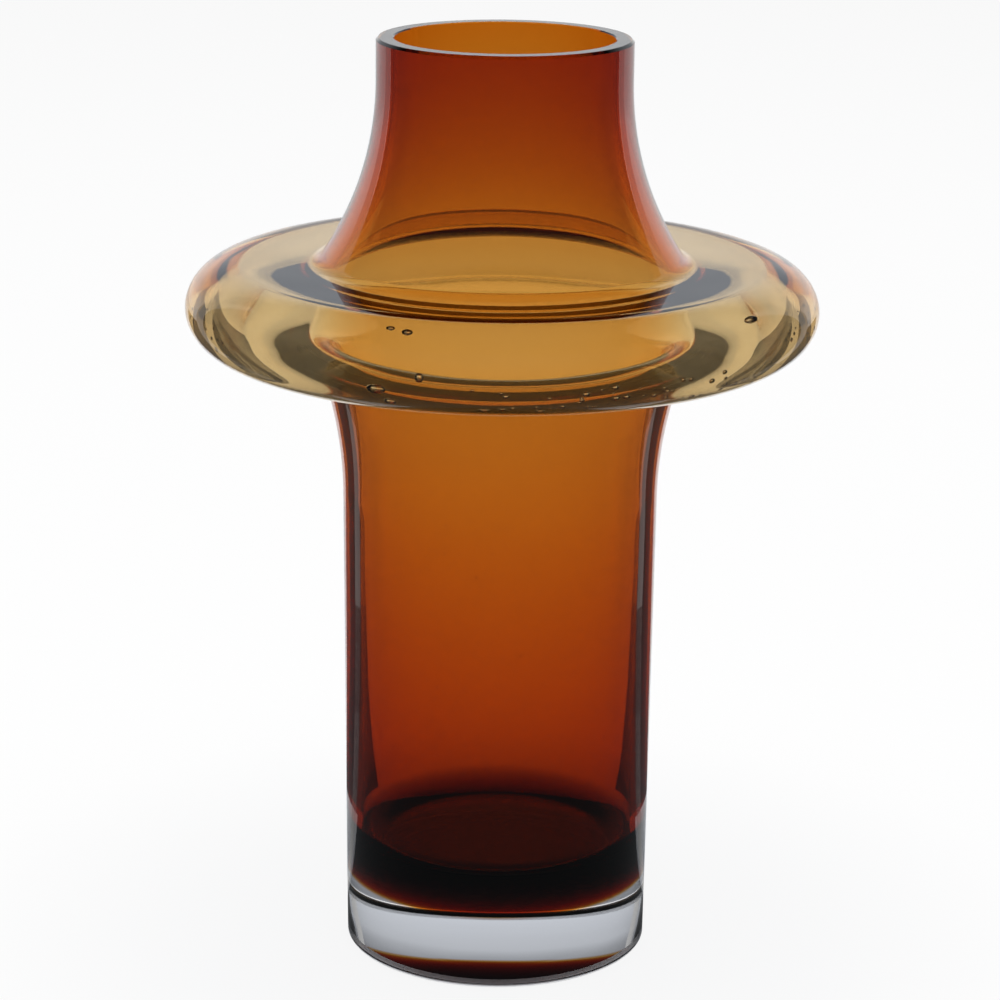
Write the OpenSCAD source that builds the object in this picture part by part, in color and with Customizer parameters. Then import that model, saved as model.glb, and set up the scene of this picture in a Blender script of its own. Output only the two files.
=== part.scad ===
// Cased-glass vase: a clear outer casing with a heavy clear foot, lined with amber glass,
// whose bubble is blown out into a hollow disc under the neck.
// Millimetres. +Z is up, and the origin is the middle of the underside.

/* [Neck] */
// Outer radius at the lip
lip_r = 41.8; // [30:0.1:55]
// Thickness of the whole wall at the lip
lip_wall = 5.9; // [4:0.1:9]
// Height of the neck, from the top of the disc to the lip
neck_h = 73.3; // [50:0.1:120]
// Straight height below the lip, before the neck starts to widen
lip_band = 13.7; // [6:0.1:30]
// Lean of the neck at its root, in degrees from upright
neck_lean = 34; // [15:1:50]
// Flat that is ground on the lip's outer edge
outer_arris = 0.9; // [0.2:0.1:1.5]
// Flat that is ground on the lip's inner edge
inner_arris = 0.4; // [0.1:0.1:1]

/* [Disc] */
// Radius of the disc
disc_r = 104.2; // [92:0.1:140]
// Height of the disc
disc_h = 29.7; // [22:0.1:45]
// Depth of the rim's round, from the disc's flat faces to its edge
rim_round = 17.8; // [12:0.1:20]
// Thickness of the disc's top where it is thinnest
top_wall = 3.8; // [3:0.1:6]
// Thickness of the disc's underside where it is thinnest
under_wall = 3; // [2.5:0.1:6]
// Thickness of the disc's wall at its edge
rim_wall = 7; // [3:0.1:9]
// Radius at which the disc's walls start to swell towards their roots
swell_r = 85; // [75:0.5:90]
// Extra thickness of the top at its root, on its inner face
top_swell = 2.2; // [0:0.1:4]
// Extra thickness of the underside at its root, on its outer face
under_swell = 4.5; // [0:0.1:6]
// Outside fillet where the neck and the body run into the disc
root_fillet = 5; // [2:0.5:10]

/* [Body] */
// Height of the body, from the underside of the foot to the underside of the disc
body_h = 207; // [150:1:300]
// Outer radius just above the foot
body_r = 51.1; // [40:0.1:60]
// Growth of the radius from the foot up to the shoulder
body_taper = 1.4; // [0:0.1:5]
// Height of the shoulder, where the body widens to the disc
shoulder_h = 45; // [25:1:60]
// Lean of the shoulder where it meets the disc, in degrees from upright
shoulder_lean = 18; // [10:1:40]
// Thickness of the whole wall of the body
body_wall = 5.4; // [4:0.1:9]

/* [Foot] */
// Height of the solid clear glass below the amber
foot_h = 24.5; // [12:0.5:45]
// Round on the foot's lower edge
foot_fillet = 1.6; // [0.5:0.1:4]
// Radius of the shallow hollow in the underside, inside the ring the vase stands on
hollow_r = 45; // [30:0.5:46]
// Depth of that hollow
hollow_depth = 1.5; // [0.5:0.1:4]
// Radius of the ground circle in the middle, where the iron was taken off
pontil_r = 25; // [10:0.5:28]
// Depth of that circle below the hollow's own
pontil_depth = 0.5; // [0.2:0.1:2]

/* [Amber lining] */
// Thickness at the lip
amber_lip = 2.5; // [0.6:0.1:3.5]
// Thickness at the root of the neck
amber_root = 1; // [0.6:0.1:3]
// Thickness all round the disc
amber_disc = 0.3; // [0.2:0.1:2.5]
// Thickness at the top of the body
amber_top = 1.1; // [0.6:0.1:3]
// Thickness at the bottom of the body
amber_heel = 2.5; // [0.6:0.1:3.5]
// Thickness of the floor
amber_floor = 11; // [3:0.1:15]
// Round inside the cavity, where wall meets floor
heel_r = 9; // [4:0.5:20]
// Round on the lining's own lower edge
amber_heel_r = 1.5; // [1:0.5:8]

/* [Hidden] */
$fn = 96;

CLEAR = [0.86, 0.90, 0.92, 0.35];
AMBER = [0.66, 0.30, 0.05, 0.80];

height = body_h + disc_h + neck_h;
disc_mid = body_h + disc_h / 2;
disc_top = body_h + disc_h;
band_low = height - lip_band;
root_low = body_h - under_swell;
side_lean = atan(body_taper / (root_low - shoulder_h));
cavity_floor = foot_h + amber_floor;
heel_top = cavity_floor + heel_r;

// The radius of the neck's sweep and of the shoulder's, each tangent to its root fillet.
neck_sweep = (neck_h - lip_band - root_fillet * (1 - sin(neck_lean))) / sin(neck_lean);
shoulder_sweep = (shoulder_h - root_fillet * (1 - sin(shoulder_lean)))
    / (sin(shoulder_lean) - sin(side_lean));
shoulder_r = body_r + body_taper;
// The whole wall at the root of the neck, and at the root of the shoulder.
neck_root_wall = top_wall + top_swell;
body_root_wall = under_wall + under_swell;

function blend(a, b, t) = a + (b - a) * t;
function toward(a) = [cos(a), sin(a)];
function unit(v) = v / norm(v);
// Evenly spaced shares from 0 to 1, both ends included.
function shares(n) = [for (i = [0:n]) i / n];

// A station is a point on the outer surface, the direction into the glass there, the thickness
// of the whole wall and the thickness of the amber in it.
function station(p, into, wall, amber) = [p, into, wall, amber];
function outer(s) = [for (k = s) k[0]];
function join_line(s) = [for (k = s) k[0] + k[1] * (k[2] - k[3])];
function inner(s) = [for (k = s) k[0] + k[1] * k[2]];
function reversed(s) = [for (i = [len(s) - 1:-1:0]) s[i]];

// The neck, from the lip down: a straight band, the sweep and the root fillet.
neck_centre = [lip_r + neck_sweep, band_low];
neck_end = neck_centre + neck_sweep * toward(180 + neck_lean);
neck_fillet_centre = neck_end - root_fillet * toward(180 + neck_lean);
neck_drop = height - neck_end[1];
function neck_amber(z) = blend(amber_lip, amber_root, min(1, (height - z) / neck_drop));
neck = concat(
    [for (z = [height, band_low]) station([lip_r, z], [-1, 0], lip_wall, neck_amber(z))],
    [for (t = shares(8))
        let (a = 180 + neck_lean * t, p = neck_centre + neck_sweep * toward(a))
        if (t > 0) station(p, toward(a), blend(lip_wall, neck_root_wall, t), neck_amber(p[1]))]
);

// The disc, from the root of the neck round the rim to the root of the body.
rim_centre = [disc_r - rim_round, disc_mid];
function rim_into(a) = -unit([cos(a) / rim_round, sin(a) / (disc_h / 2)]);
body_end = [shoulder_r + shoulder_sweep * (cos(side_lean) - cos(shoulder_lean)),
    root_low - root_fillet * (1 - sin(shoulder_lean))];
body_fillet_centre = body_end - root_fillet * toward(180 - shoulder_lean);
// Both walls thicken from swell_r to their roots, slowly at first.
function swell(r, root, most) = most * pow(max(0, (swell_r - r) / (swell_r - root)), 2);
disc = concat(
    [for (t = shares(5))
        let (a = blend(180 + neck_lean, 270, t))
        station(neck_fillet_centre + root_fillet * toward(a), toward(a), neck_root_wall,
            blend(amber_root, amber_disc, t))],
    [for (t = shares(8))
        let (r = blend(neck_fillet_centre[0], rim_centre[0], t))
        if (t > 0 && t < 1) station([r, disc_top], [0, -1],
            top_wall + swell(r, neck_fillet_centre[0], top_swell), amber_disc)],
    [for (t = shares(24))
        let (a = blend(90, -90, t), edge = cos(a))
        station(rim_centre + [rim_round * cos(a), disc_h / 2 * sin(a)], rim_into(a),
            blend(a > 0 ? top_wall : under_wall, rim_wall, edge), amber_disc)],
    [for (t = shares(8))
        let (r = blend(rim_centre[0], body_fillet_centre[0], t),
            extra = swell(r, body_fillet_centre[0], under_swell))
        if (t > 0 && t < 1) station([r, body_h - extra], [0, 1], under_wall + extra, amber_disc)],
    [for (t = shares(5))
        let (a = blend(90, 180 - shoulder_lean, t))
        station(body_fillet_centre + root_fillet * toward(a), toward(a), body_root_wall,
            blend(amber_disc, amber_top, t))]
);

// The body, from the root of the shoulder down to the top of the cavity's round heel.
shoulder_centre = [shoulder_r + shoulder_sweep * cos(side_lean), body_end[1]
    - shoulder_sweep * sin(shoulder_lean)];
side_top = shoulder_centre + shoulder_sweep * toward(180 - side_lean);
side_into = toward(180 - side_lean);
function side_point(z) = [side_top[0] - (side_top[1] - z) * tan(side_lean), z];
// The lining thickens slowly at first and faster towards the floor.
function body_amber(z) = blend(amber_top, amber_heel,
    pow(max(0, (body_end[1] - z) / (body_end[1] - heel_top)), 1.4));
body = concat(
    [for (t = shares(6))
        let (a = 180 - blend(shoulder_lean, side_lean, t),
            p = shoulder_centre + shoulder_sweep * toward(a))
        station(p, toward(a), blend(body_root_wall, body_wall, t), body_amber(p[1]))],
    [for (t = shares(6))
        let (z = blend(side_top[1], heel_top, t))
        if (t > 0) station(side_point(z), side_into, body_wall, body_amber(z))]
);

// The lining's lower end: its outer wall runs down to a small round and a flat underside, and its
// inner wall sweeps round into the floor.
amber_low = join_line(body)[len(body) - 1];
cavity_low = inner(body)[len(body) - 1];
amber_bottom = [for (t = shares(4))
    [amber_low[0] - amber_heel_r, foot_h + amber_heel_r] + amber_heel_r * toward(-90 * t)];
heel_drop = cavity_low[1] - cavity_floor;
heel = [for (t = shares(8))
    if (t > 0) cavity_low - [heel_r * (1 - cos(90 * t)), heel_drop * sin(90 * t)]];
foot_edge = [for (t = shares(6)) [body_r - foot_fillet, foot_fillet]
    + foot_fillet * toward(-90 * t)];
// The hollow and the ground circle are shallow caps of spheres. Each runs from its edge inwards.
function dish(radius, depth, top) = let (
    ball = (pow(radius, 2) + pow(depth, 2)) / (2 * depth),
    span = asin(radius / ball))
    [for (t = shares(5)) [0, top - ball] + ball * toward(90 - span * (1 - t))];
pontil_top = hollow_depth * (1 - pow(pontil_r / hollow_r, 2)) + pontil_depth;
underside = concat([for (p = dish(hollow_r, hollow_depth, hollow_depth)) if (p[0] > pontil_r) p],
    dish(pontil_r, pontil_depth, pontil_top));

module turned(outline, tint) {
    color(tint) rotate_extrude() polygon(outline);
}

// A ring of one layer between two lines of points that run the same way.
module layer(outside, inside, tint) {
    turned(concat(outside, reversed(inside)), tint);
}

module clear_neck() {
    ground = concat([[lip_r - outer_arris, height], [lip_r, height - outer_arris]],
        [for (i = [1:len(neck) - 1]) outer(neck)[i]]);
    layer(ground, join_line(neck), CLEAR);
}

module clear_disc() {
    layer(outer(disc), join_line(disc), CLEAR);
}

module clear_body() {
    layer(concat(outer(body), [side_point(foot_h)]), concat(join_line(body), amber_bottom), CLEAR);
}

module clear_foot() {
    turned(concat([[0, foot_h], side_point(foot_h)], foot_edge, underside), CLEAR);
}

module amber_neck() {
    mouth_r = lip_r - lip_wall;
    ground = concat([[mouth_r + inner_arris, height], [mouth_r, height - inner_arris]],
        [for (i = [1:len(neck) - 1]) inner(neck)[i]]);
    layer(join_line(neck), ground, AMBER);
}

module amber_disc_lining() {
    layer(join_line(disc), inner(disc), AMBER);
}

module amber_body() {
    layer(concat(join_line(body), [[amber_low[0], cavity_floor]]), concat(inner(body), heel), AMBER);
}

module amber_base() {
    turned(concat([[0, cavity_floor], [amber_low[0], cavity_floor]], amber_bottom, [[0, foot_h]]),
        AMBER);
}

clear_neck();
clear_disc();
clear_body();
clear_foot();
amber_neck();
amber_disc_lining();
amber_body();
amber_base();
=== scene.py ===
"""A mouth-blown vase: clear glass cased over an amber lining, with a hollow disc under the neck."""
import math
import random

import bpy
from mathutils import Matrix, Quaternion, Vector


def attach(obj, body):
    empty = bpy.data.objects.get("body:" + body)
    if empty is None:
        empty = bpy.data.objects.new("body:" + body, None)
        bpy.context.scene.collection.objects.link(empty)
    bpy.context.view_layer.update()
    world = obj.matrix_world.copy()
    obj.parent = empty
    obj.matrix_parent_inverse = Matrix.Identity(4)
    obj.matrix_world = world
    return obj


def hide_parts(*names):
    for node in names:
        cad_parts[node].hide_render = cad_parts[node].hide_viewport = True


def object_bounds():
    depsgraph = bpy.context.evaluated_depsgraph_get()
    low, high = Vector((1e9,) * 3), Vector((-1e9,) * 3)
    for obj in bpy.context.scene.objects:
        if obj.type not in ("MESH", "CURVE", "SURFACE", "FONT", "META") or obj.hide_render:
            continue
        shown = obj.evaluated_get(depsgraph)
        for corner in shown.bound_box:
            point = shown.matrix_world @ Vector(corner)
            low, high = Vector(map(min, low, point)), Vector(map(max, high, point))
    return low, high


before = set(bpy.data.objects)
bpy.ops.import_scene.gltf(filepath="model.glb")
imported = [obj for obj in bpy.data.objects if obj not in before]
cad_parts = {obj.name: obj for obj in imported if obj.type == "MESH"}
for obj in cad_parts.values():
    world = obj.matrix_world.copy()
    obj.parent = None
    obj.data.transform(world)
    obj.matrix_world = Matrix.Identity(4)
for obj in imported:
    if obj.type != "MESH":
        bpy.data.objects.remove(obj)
cad_low, cad_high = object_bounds()
scene = bpy.context.scene
collection = scene.collection
MM = 0.001

# The camera stands a little above the lip, about 1.1 m away, and looks down through a long lens.
# It leans by a hair, as a camera set up by hand does.
camera_distance = 1.0863
camera_height = 0.4673
camera_pitch = 16.053
camera_roll = 0.655
focal_share = 3.3725  # focal length in frame widths

camera_data = bpy.data.cameras.new("camera")
camera_data.sensor_width = 36
camera_data.lens = focal_share * camera_data.sensor_width
camera_data.clip_start, camera_data.clip_end = 0.05, 60  # metres
camera = bpy.data.objects.new("camera", camera_data)
collection.objects.link(camera)
camera.location = (0, -camera_distance, camera_height)
pitch = math.radians(camera_pitch)
aim = Vector((0, math.cos(pitch), -math.sin(pitch)))
camera.rotation_mode = "QUATERNION"
camera.rotation_quaternion = (
    Quaternion(aim, math.radians(-camera_roll)) @ aim.to_track_quat("-Z", "Y"))
bpy.context.scene.camera = camera

# A studio set for glass: a pale floor that runs up into a pale backdrop, so that the clear parts
# read bright and the edges of the glass pick up what stands beside it.
scene.view_settings.view_transform = "Standard"
scene.cycles.max_bounces = 40
scene.cycles.transmission_bounces = 40
scene.cycles.glossy_bounces = 12
scene.cycles.transparent_max_bounces = 16


class Shade:
    """A shader socket that takes plain arithmetic, and the maker of the other nodes in its tree."""

    def __init__(self, tree, socket=None):
        self.tree, self.socket = tree, socket

    def node(self, kind, settings=None, out=0, **values):
        """Add a node. Its sockets are called by name, with underscores, or by number, as _0."""
        made = self.tree.nodes.new("ShaderNode" + kind)
        for key, value in (settings or {}).items():
            if key == "stops":
                ends = zip(made.color_ramp.elements, (value[0], value[-1]))
                for stop, (spot, tone) in ends:
                    stop.position, stop.color = spot, (*tone, 1)
                for spot, tone in value[1:-1]:
                    made.color_ramp.elements.new(spot).color = (*tone, 1)
            else:
                setattr(made, key, value)
        for key, value in values.items():
            number = key[1:]
            socket = int(number) if number.isdigit() else key.replace("_", " ")
            plug(self.tree, made.inputs[socket], value)
        return Shade(self.tree, made.outputs[out] if len(made.outputs) else None)

    def maths(self, operation, *values):
        return self.node("Math", {"operation": operation},
                         **{f"_{number}": value for number, value in enumerate(values)})

    def __add__(self, other): return self.maths("ADD", self, other)
    __radd__ = __add__
    def __sub__(self, other): return self.maths("SUBTRACT", self, other)
    def __rsub__(self, other): return self.maths("SUBTRACT", other, self)
    def __mul__(self, other): return self.maths("MULTIPLY", self, other)
    __rmul__ = __mul__
    def __truediv__(self, other): return self.maths("DIVIDE", self, other)
    def __rtruediv__(self, other): return self.maths("DIVIDE", other, self)


def plug(tree, socket, value):
    if isinstance(value, Shade):
        tree.links.new(value.socket, socket)
    else:
        socket.default_value = value


def empty_material(name):
    """A material with no nodes yet, and the Shade that makes them."""
    material = bpy.data.materials.new(name)
    material.use_nodes = True
    material.node_tree.nodes.clear()
    return material, Shade(material.node_tree)


floor_half = 12
# The floor's tone is a painted shadow round the vase: near black under it, grey out to 0.1 m and paler
# by 0.2 m. The glass sees it in full. Where the floor is looked at directly, the white glow covers
# most of it.
floor_shadow_rings = [  # painted shadow, from the middle of the floor outwards, in metres
    (0.046, (0.06, 0.06, 0.06)),  # painted shadow under the vase
    (0.053, (0.50, 0.52, 0.56)),
    (0.1, (0.52, 0.54, 0.58)),
    (0.2, (0.8, 0.8, 0.8))]
fade_start, fade_length = 1.3, 1.5  # where the floor fades into the backdrop
floor_lift = 0.9  # how far the floor is lifted to white where it is looked at directly
floor_mesh = bpy.data.meshes.new("studio_floor")
floor_mesh.from_pydata(
    [(-floor_half, -floor_half, 0), (floor_half, -floor_half, 0),
     (floor_half, floor_half, 0), (-floor_half, floor_half, 0)], [], [(0, 1, 2, 3)])
studio_floor = bpy.data.objects.new("studio_floor", floor_mesh)
collection.objects.link(studio_floor)
floor_material, start = empty_material("studio_floor")
reach = start.node("VectorMath", {"operation": "LENGTH"}, "Value", _0=start.node("NewGeometry"))
tones = start.node("ValToRGB", {"stops": floor_shadow_rings}, _0=reach)
paint = start.node("BsdfDiffuse", Color=tones)
glow = start.node("Emission", Color=(1, 1, 1, 1), Strength=1.0)
direct = start.node("LightPath", out="Is Camera Ray") * floor_lift
white_share = direct.maths("MAXIMUM", direct, (reach - fade_start) / fade_length)
start.node("OutputMaterial",
           Surface=start.node("MixShader", _0=white_share, _1=paint, _2=glow))
floor_mesh.materials.append(floor_material)

backdrop_bands = [  # from the horizon up, by the height of the direction looked in
    (0.1, (1, 1, 1)),
    (0.22, (0.58, 0.61, 0.66)),
    (0.42, (0.48, 0.50, 0.54)),
    (0.6, (0.02, 0.02, 0.02))]
world = bpy.data.worlds.new("studio")
world.use_nodes = True
scene.world = world
start = Shade(world.node_tree)
split = start.node("SeparateXYZ", out="Z", Vector=start.node("TexCoord", out="Generated"))
background = world.node_tree.nodes["Background"]
plug(world.node_tree, background.inputs["Color"],
     start.node("ValToRGB", {"stops": backdrop_bands}, _0=split))
background.inputs["Strength"].default_value = 1.0

overhead = bpy.data.lights.new("overhead_softbox", "AREA")
overhead.shape, overhead.size = "DISK", 3
overhead.energy = 80  # watts
lamp = bpy.data.objects.new("overhead_softbox", overhead)
collection.objects.link(lamp)
lamp.location = (0, 0, 2.4)
lamp.visible_camera = lamp.visible_glossy = lamp.visible_transmission = False

# The cards beside the vase turn with the camera about the vase's axis: dark cards behind it on both
# sides, which draw its edges, and a bright strip beyond each. The dark cloths lie on the floor.
turntable = bpy.data.objects.new("card_stand", None)
collection.objects.link(turntable)
facing = turntable.constraints.new("LOCKED_TRACK")
facing.target = camera
facing.track_axis, facing.lock_axis = "TRACK_NEGATIVE_Y", "LOCK_Z"


def emitting(name, colour, strength):
    material, start = empty_material(name)
    start.node("OutputMaterial",
               Surface=start.node("Emission", Color=(*colour, 1), Strength=strength))
    return material


def card(name, start, end, rows, material):
    """A card bent round the vase's axis, from rows of (radius, height) in metres.

    Angles run from the far side of the vase, in degrees."""
    steps = 24
    points, faces = [], []
    for i in range(steps + 1):
        a = math.radians(start + (end - start) * i / steps)
        points += [(r * math.sin(a), r * math.cos(a), z) for r, z in rows]
    for i in range(steps):
        for j in range(len(rows) - 1):
            k = len(rows) * i + j
            faces.append((k, k + len(rows), k + len(rows) + 1, k + 1))
    mesh = bpy.data.meshes.new(name)
    mesh.from_pydata(points, [], faces)
    mesh.materials.append(material)
    piece = bpy.data.objects.new(name, mesh)
    collection.objects.link(piece)
    piece.parent = turntable
    piece.visible_camera = False
    piece.visible_diffuse = False
    piece.visible_shadow = False


black = emitting("black_card", (0.9, 0.95, 1), 0.09)
bright = emitting("bright_strip", (1, 1, 1), 0.55)
lie = 0.0005  # height of a card that lies on the floor
card_top = 0.5
cloth_rows = [(0.15, lie), (1.5, lie)]
strip_rows = [(0.06, lie), (0.4, lie), (0.4, card_top)]
card_rows = [(0.052, lie), (0.3, lie), (0.3, card_top)]
for side, word in ((-1, "left"), (1, "right")):
    card(f"black_cloth_{word}", side * 29, side * 65, cloth_rows, black)
    card(f"bright_strip_{word}", side * 53, side * 62, strip_rows, bright)
    card(f"black_card_{word}", side * 65, side * 180, card_rows, black)

# The clear glass: one gather over the amber, drawn here as the whole wall from its outer face to the
# face of the hollow, with a heavy foot. The lip is ground flat, and the underside is ground hollow.
lip_r, lip_wall, lip_band, neck_lean = 41.8, 5.9, 13.7, 34
disc_r, rim_round, top_wall, under_wall, rim_wall, root_fillet = 104.2, 17.8, 3.8, 3, 7, 5
swell_r, top_swell, under_swell = 85, 2.2, 4.5
body_r, body_taper, body_wall, shoulder_h, shoulder_lean = 51.1, 1.4, 5.4, 45, 18
foot_h, foot_fillet = 24.5, 1.6
hollow_r, hollow_depth, pontil_r, pontil_depth = 45, 1.5, 25, 0.5
outer_arris, inner_arris = 0.9, 0.4
amber_lip, amber_root, amber_disc, amber_top, amber_heel = 2.5, 1.0, 0.3, 1.1, 2.5
amber_floor, heel_r, amber_heel_r = 11, 9, 1.5
height = cad_high.z / MM
disc_low, disc_top = 207, 236.7  # heights of the disc's flat faces
disc_mid, disc_half = (disc_low + disc_top) / 2, (disc_top - disc_low) / 2
around = 144  # points in each ring
glass_ior = 1.51


def shares(steps):
    return [i / steps for i in range(steps + 1)]


def mix(a, b, t):
    return a + (b - a) * t


def toward(degrees):
    a = math.radians(degrees)
    return Vector((math.cos(a), math.sin(a)))


def sine(degrees):
    return math.sin(math.radians(degrees))


class Station:
    """A place along the wall: its outer point, the way into the glass, the wall and its amber."""

    def __init__(self, point, into, wall, amber):
        self.point, self.into, self.wall, self.amber = Vector(point), into.normalized(), wall, amber

    def at(self, depth):
        return self.point + self.into * depth


neck_root_wall = top_wall + top_swell
body_root_wall = under_wall + under_swell
root_low = disc_low - under_swell


def swell(r, root, most):
    """The extra glass of the disc's walls towards their roots: little at first, then more."""
    return most * max(0, (swell_r - r) / (swell_r - root)) ** 2


side_lean = math.degrees(math.atan(body_taper / (root_low - shoulder_h)))
band_low = height - lip_band
neck_sweep = (band_low - disc_top - root_fillet * (1 - sine(neck_lean))) / sine(neck_lean)
shoulder_sweep = ((shoulder_h - root_fillet * (1 - sine(shoulder_lean)))
                  / (sine(shoulder_lean) - sine(side_lean)))
cavity_floor = foot_h + amber_floor
heel_top = cavity_floor + heel_r

neck_centre = Vector((lip_r + neck_sweep, band_low))
neck_end = neck_centre + neck_sweep * toward(180 + neck_lean)
stations = []
for t in shares(6):
    z = mix(height, band_low, t)
    amber = mix(amber_lip, amber_root, (height - z) / (height - neck_end.y))
    stations.append(Station((lip_r, z), Vector((-1, 0)), lip_wall, amber))
for t in shares(40)[1:]:
    way = toward(180 + neck_lean * t)
    point = neck_centre + neck_sweep * way
    amber = mix(amber_lip, amber_root, (height - point.y) / (height - neck_end.y))
    stations.append(Station(point, way, mix(lip_wall, neck_root_wall, t), amber))
fillet_centre = neck_end - root_fillet * toward(180 + neck_lean)
for t in shares(14)[1:]:
    way = toward(mix(180 + neck_lean, 270, t))
    stations.append(Station(fillet_centre + root_fillet * way, way,
                            neck_root_wall, mix(amber_root, amber_disc, t)))
for t in shares(30)[1:-1]:
    r = mix(fillet_centre.x, disc_r - rim_round, t)
    stations.append(Station((r, disc_top), Vector((0, -1)),
                            top_wall + swell(r, fillet_centre.x, top_swell), amber_disc))
for t in shares(72):
    a = mix(90, -90, t)
    c, s = math.cos(math.radians(a)), math.sin(math.radians(a))
    stations.append(Station((disc_r - rim_round + rim_round * c, disc_mid + disc_half * s),
                            -Vector((c / rim_round, s / disc_half)),
                            mix(top_wall if a > 0 else under_wall, rim_wall, c), amber_disc))
shoulder_r = body_r + body_taper
body_end = Vector((shoulder_r + shoulder_sweep * (toward(side_lean).x - toward(shoulder_lean).x),
                   root_low - root_fillet * (1 - sine(shoulder_lean))))
fillet_centre = body_end - root_fillet * toward(180 - shoulder_lean)
for t in shares(30)[1:-1]:
    r = mix(disc_r - rim_round, fillet_centre.x, t)
    extra = swell(r, fillet_centre.x, under_swell)
    stations.append(Station((r, disc_low - extra), Vector((0, 1)), under_wall + extra, amber_disc))
for t in shares(14)[:-1]:
    way = toward(mix(90, 180 - shoulder_lean, t))
    stations.append(Station(fillet_centre + root_fillet * way, way,
                            body_root_wall, mix(amber_disc, amber_top, t)))


def body_amber(z):
    """The body's amber thickens slowly at first, and faster towards the floor."""
    return mix(amber_top, amber_heel, max(0, (body_end.y - z) / (body_end.y - heel_top)) ** 1.4)


shoulder_centre = Vector((shoulder_r + shoulder_sweep * toward(side_lean).x,
                          body_end.y - shoulder_sweep * sine(shoulder_lean)))
for t in shares(24):
    way = toward(180 - mix(shoulder_lean, side_lean, t))
    point = shoulder_centre + shoulder_sweep * way
    stations.append(Station(point, way, mix(body_root_wall, body_wall, t), body_amber(point.y)))
side_top = stations[-1].point.copy()
side_way = toward(180 - side_lean)


def side_point(z):
    return Vector((side_top.x - (side_top.y - z) * math.tan(math.radians(side_lean)), z))


for t in shares(30)[1:]:
    z = mix(side_top.y, heel_top, t)
    stations.append(Station(side_point(z), side_way, body_wall, body_amber(z)))

outer = [s.point for s in stations]
hollow = [s.at(s.wall) for s in stations]
cavity_low = hollow[-1]
heel = [cavity_low - Vector((heel_r * (1 - math.cos(math.radians(90 * t))),
                             (cavity_low.y - cavity_floor) * sine(90 * t)))
        for t in shares(24)[1:]]
floor_line = [Vector((heel[-1].x * (1 - t), cavity_floor)) for t in shares(10)[1:]]
foot_corner = [Vector((body_r - foot_fillet, foot_fillet)) + foot_fillet * toward(-90 * t)
               for t in shares(14)]


def dish(radius, depth, top):
    """Half of a shallow hollow's outline, from its middle out to its edge."""
    ball = (radius ** 2 + depth ** 2) / (2 * depth)
    span = math.degrees(math.asin(radius / ball))
    return [Vector((0, top - ball)) + ball * toward(90 - span * t) for t in shares(16)]


hollow_rise = dish(hollow_r, hollow_depth, hollow_depth)
outside_pontil = [p for p in hollow_rise if p.x > pontil_r]
pontil_edge = hollow_depth * (1 - (pontil_r / hollow_r) ** 2)
pontil = dish(pontil_r, pontil_depth, pontil_edge + pontil_depth)
underside = [Vector((mix(body_r - foot_fillet, hollow_r, t), 0)) for t in shares(3)[1:-1]]
lip = [Vector((lip_r - lip_wall, height - inner_arris)),
       Vector((lip_r - lip_wall + inner_arris, height)),
       Vector((lip_r - lip_wall / 2, height)),
       Vector((lip_r - outer_arris, height)), Vector((lip_r, height - outer_arris))]
stain_end = foot_h + 1
stained_side = [mix(heel_top, stain_end, t) for t in shares(4)[1:]]
clear_side = [mix(foot_h, foot_fillet, t) for t in shares(4)[:-1]]
glass_outline = (list(reversed(heel + floor_line)) + list(reversed(hollow[1:])) + lip + outer[1:]
                 + [side_point(z) for z in stained_side + clear_side]
                 + foot_corner + underside + outside_pontil[::-1] + pontil[::-1])
sharp_from = 35  # degrees


def turned(name, outline, stains=None):
    """A closed body of revolution from an outline that starts and ends on the axis."""
    points, faces, tints, rows = [], [], [], []
    for p, tint in zip(outline, stains or outline):
        r, z = p.x * MM, p.y * MM
        if r < 1e-7:
            rows.append([len(points)] * around)
            points.append((0, 0, z))
            tints.append(tint)
        else:
            rows.append(list(range(len(points), len(points) + around)))
            tints += [tint] * around
            for k in range(around):
                a = 2 * math.pi * k / around
                points.append((r * math.cos(a), r * math.sin(a), z))
    for upper, lower in zip(rows, rows[1:]):
        for k in range(around):
            j = (k + 1) % around
            corners = [upper[k], lower[k], lower[j], upper[j]]
            faces.append(list(dict.fromkeys(corners)))
    piece = finished(name, points, faces, sharp_from)
    if stains:
        layer = piece.data.color_attributes.new("stain", "FLOAT_COLOR", "POINT")
        for spot, tint in zip(layer.data, tints):
            spot.color = (*tint, 1)
    return piece


def finished(name, points, faces, sharp):
    """A smooth mesh, with a crease where two faces turn by more than the angle named sharp."""
    mesh = bpy.data.meshes.new(name)
    mesh.from_pydata(points, [], faces)
    mesh.validate()
    mesh.shade_smooth()
    mesh.set_sharp_from_angle(angle=math.radians(sharp))
    piece = bpy.data.objects.new(name, mesh)
    collection.objects.link(piece)
    return piece


def glass(name, ior):
    material = bpy.data.materials.new(name)
    material.use_nodes = True
    shader = material.node_tree.nodes["Principled BSDF"]
    shader.inputs["Base Color"].default_value = (1, 1, 1, 1)
    shader.inputs["Roughness"].default_value = 0
    shader.inputs["IOR"].default_value = ior
    shader.inputs["Transmission Weight"].default_value = 1
    return material, shader, Shade(material.node_tree)


# The casing's outer face takes part of the amber's colour as a stain, in step with the lining's
# thickness, so that the model keeps its colour where a viewer leaves out what lies inside glass.
amber_absorbs = (240, 790, 2050)  # per metre, for red, green and blue
stain_share = 0.4


def stain(amber):
    """The tint of the face over that much amber. A face passes only the tint's square root."""
    return [math.exp(-2 * a * amber * MM * stain_share) for a in amber_absorbs]


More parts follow.
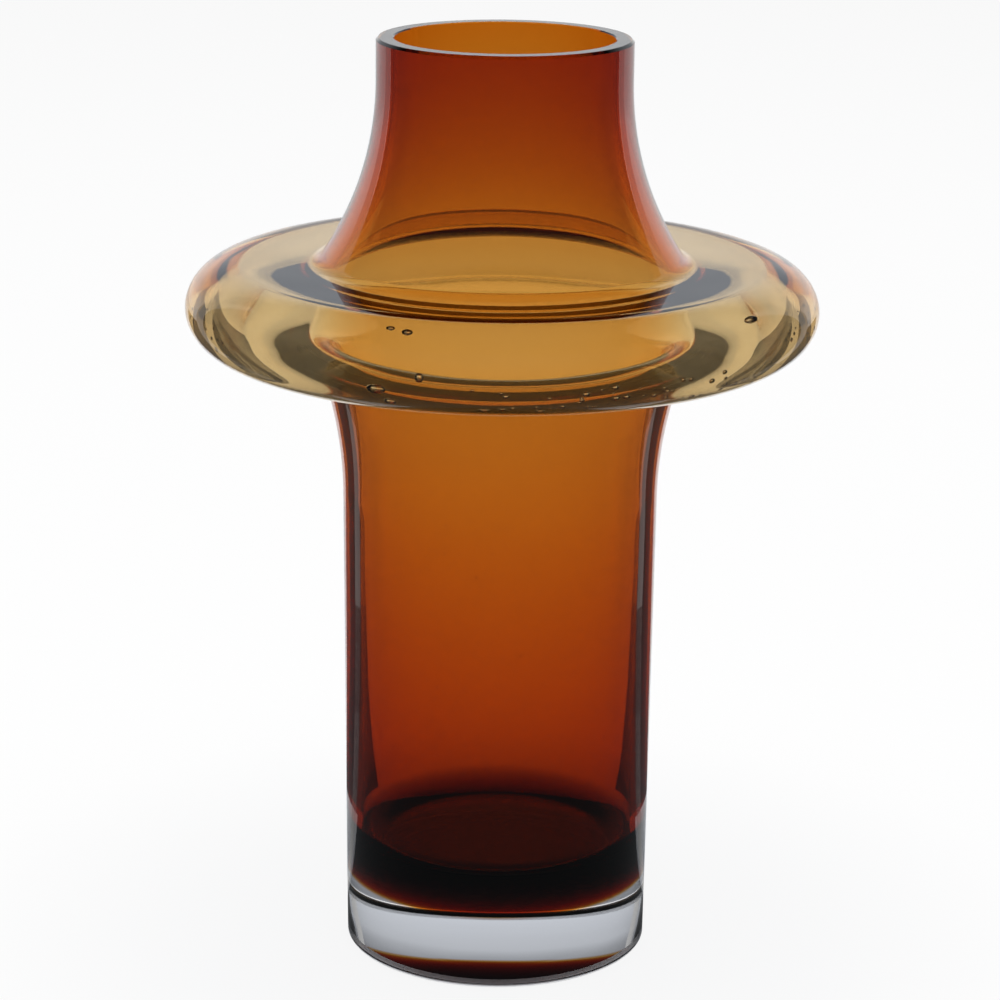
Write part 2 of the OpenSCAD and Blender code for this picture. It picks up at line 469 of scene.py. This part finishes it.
white = [1, 1, 1]
floor_stain = stain(amber_floor)
heel_stains = [[mix(w, f, t) for w, f in zip(white, floor_stain)]
               for t in shares(len(heel) - 1)[::-1]]
inside_and_lip = [white] * (len(hollow) - 1 + len(lip) - 2)
clear_below = clear_side + foot_corner + underside + outside_pontil + pontil
stains = ([floor_stain] * len(floor_line) + heel_stains + inside_and_lip
          + [stain(s.amber) for s in stations[:1] * 2 + stations[1:]]
          + [stain(stations[-1].amber)] * len(stained_side) + [white] * len(clear_below))
assert len(stains) == len(glass_outline)
clear_casing = turned("clear_casing", glass_outline, stains)

wave_scale, grind_scale = 26.0, 2400.0  # noise cells for each metre
wave_strength, wave_height = 0.35, 0.0004
lip_haze, foot_haze = 0.06, 0.2  # roughness where the glass is ground
lip_cut, foot_cut = 0.05, 0.3  # how far the grinding reaches from the lip's top and from the ground
clear_glass, shader, start = glass("clear_glass", glass_ior)
plug(start.tree, shader.inputs["Base Color"], start.node("Attribute", {"attribute_name": "stain"}))
spot = start.node("TexCoord", out="Object")
waves = start.node("TexNoise", {"noise_dimensions": "3D"}, Vector=spot, Scale=wave_scale, Detail=1.0)
plug(start.tree, shader.inputs["Normal"],
     start.node("Bump", Strength=wave_strength, Distance=wave_height, Height=waves))
up = start.node("SeparateXYZ", out="Z", _0=spot)
grind = start.node("TexNoise", {"noise_dimensions": "3D"}, Vector=spot, Scale=grind_scale, Detail=2.0)
ground_lip = up.maths("GREATER_THAN", up, (height - lip_cut) * MM)
ground_foot = up.maths("LESS_THAN", up, foot_cut * MM)
plug(start.tree, shader.inputs["Roughness"],
     ground_lip * (lip_haze + lip_haze * grind) + ground_foot * (foot_haze + foot_haze * grind))
clear_casing.data.materials.append(clear_glass)
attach(clear_casing, "root")
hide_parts("clear_neck", "clear_disc", "clear_body", "clear_foot")

# The amber lining, against the hollow from the lip to the thick floor. It is fused to the clear glass,
# so it bends no light of its own and only takes some of it up.
skin = 0.04  # how far the lining is kept from the hollow's face
join = [s.at(s.wall - s.amber) for s in stations]
inner_face = [s.at(s.wall - skin) for s in stations]
lip_drop = Vector((0, skin))
join[0], inner_face[0] = join[0] - lip_drop, inner_face[0] - lip_drop - Vector((0, inner_arris))
amber_low = join[-1]
amber_corner = [Vector((amber_low.x - amber_heel_r, foot_h + amber_heel_r))
                + amber_heel_r * toward(-90 * t) for t in shares(12)]
skin_heel = [p - Vector((0, skin)) for p in heel + floor_line]
amber_underside = [Vector((amber_corner[-1].x * (1 - t), foot_h)) for t in shares(8)[1:]]
amber_outline = (list(reversed(skin_heel)) + list(reversed(inner_face)) + join
                 + amber_corner + amber_underside)
amber_lining = turned("amber_lining", amber_outline)
density = max(amber_absorbs)
passes = [1 - a / density for a in amber_absorbs]
amber_glass, _, start = glass("amber_glass", 1.0)
absorb = start.node("VolumeAbsorption", Color=(*passes, 1), Density=density * (1 - stain_share))
plug(start.tree, start.tree.nodes["Material Output"].inputs["Volume"], absorb)
amber_lining.data.materials.append(amber_glass)
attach(amber_lining, "root")
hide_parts("amber_neck", "amber_disc_lining", "amber_body", "amber_base")

# The air seeds: bubbles that the gather trapped. Most lie low in the disc's rim, where the glass
# settled, and a few fine ones are drawn out along the body.
seed_spots = random.Random(11)
seed_points, seed_faces = [], []


def seed(angle, radius, z, size, stretch):
    """One bubble of that radius, stretched across, outward and up. Its faces look in, at the air."""
    a = math.radians(angle)
    out, across = Vector((math.sin(a), -math.cos(a), 0)), Vector((math.cos(a), math.sin(a), 0))
    centre = out * radius * MM + Vector((0, 0, z * MM))
    rings, turns = 6, 10
    rows = []
    for i in range(rings + 1):
        up, wide = math.cos(math.pi * i / rings), math.sin(math.pi * i / rings)
        first, count = len(seed_points), turns if 0 < i < rings else 1
        rows.append([first + j % count for j in range(turns)])
        for j in range(count):
            b = 2 * math.pi * j / turns
            seed_points.append(centre + size * MM * (
                across * stretch[0] * wide * math.cos(b) + out * stretch[1] * wide * math.sin(b)
                + Vector((0, 0, stretch[2] * up))))
    for upper, lower in zip(rows, rows[1:]):
        for j in range(turns):
            k = (j + 1) % turns
            seed_faces.append(list(dict.fromkeys((upper[j], lower[j], lower[k], upper[k]))))


def rim_depth(angle_up, depth):
    """A point in the rim's glass, from its angle above the rim's middle and its depth."""
    c, s = math.cos(math.radians(angle_up)), sine(angle_up)
    into = -Vector((c / rim_round, s / disc_half)).normalized()
    return Vector((disc_r - rim_round + rim_round * c, disc_mid + disc_half * s)) + into * depth


big_seeds = [  # angle round from the front, angle up the rim, radius, stretch
    (-22, -24, 1.7, (1.9, 0.8, 0.9)), (-20, -44, 1.5, (1.4, 0.8, 0.8)),
    (-21, 62, 1, (1.5, 0.8, 0.8)), (-17.5, 58, 1.4, (1.3, 0.8, 0.8)),
    (-14, -2, 1.2, (1.2, 0.8, 1.2)), (52, 45, 1.6, (2.2, 0.7, 0.8)),
    (-3, -52, 1, (1.8, 0.7, 0.8)), (7, -54, 0.9, (1.6, 0.7, 0.8))]
big_seed_depth = 2.2
for angle, up, size, stretch in big_seeds:
    p = rim_depth(up, big_seed_depth)
    seed(angle, p.x, p.y, size, stretch)
front_seeds, side_seeds, body_seeds = 46, 16, 22
for _ in range(front_seeds):
    p = rim_depth(seed_spots.uniform(-50, -15), seed_spots.uniform(0.9, 2.4))
    seed(seed_spots.triangular(-6, 62, 26), p.x, p.y, seed_spots.uniform(0.3, 0.85), (1.5, 0.8, 1))
for side in (-1, 1):
    for _ in range(side_seeds):
        p = rim_depth(seed_spots.uniform(-55, 25), seed_spots.uniform(0.9, 3.4))
        seed(side * seed_spots.uniform(60, 80), p.x, p.y, seed_spots.uniform(0.3, 0.65), (1.4, 0.8, 1))
for _ in range(body_seeds):
    z = seed_spots.uniform(foot_h + 20, root_low - shoulder_h)
    seed(seed_spots.uniform(-180, 180), side_point(z).x - seed_spots.uniform(0.8, 2.2), z,
         seed_spots.uniform(0.16, 0.3), (1, 0.8, 2.2))
seed_walls, _, _ = glass("seed_walls", glass_ior)
air_seeds = finished("air_seeds", seed_points, seed_faces, 180)
air_seeds.data.materials.append(seed_walls)
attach(air_seeds, "root")
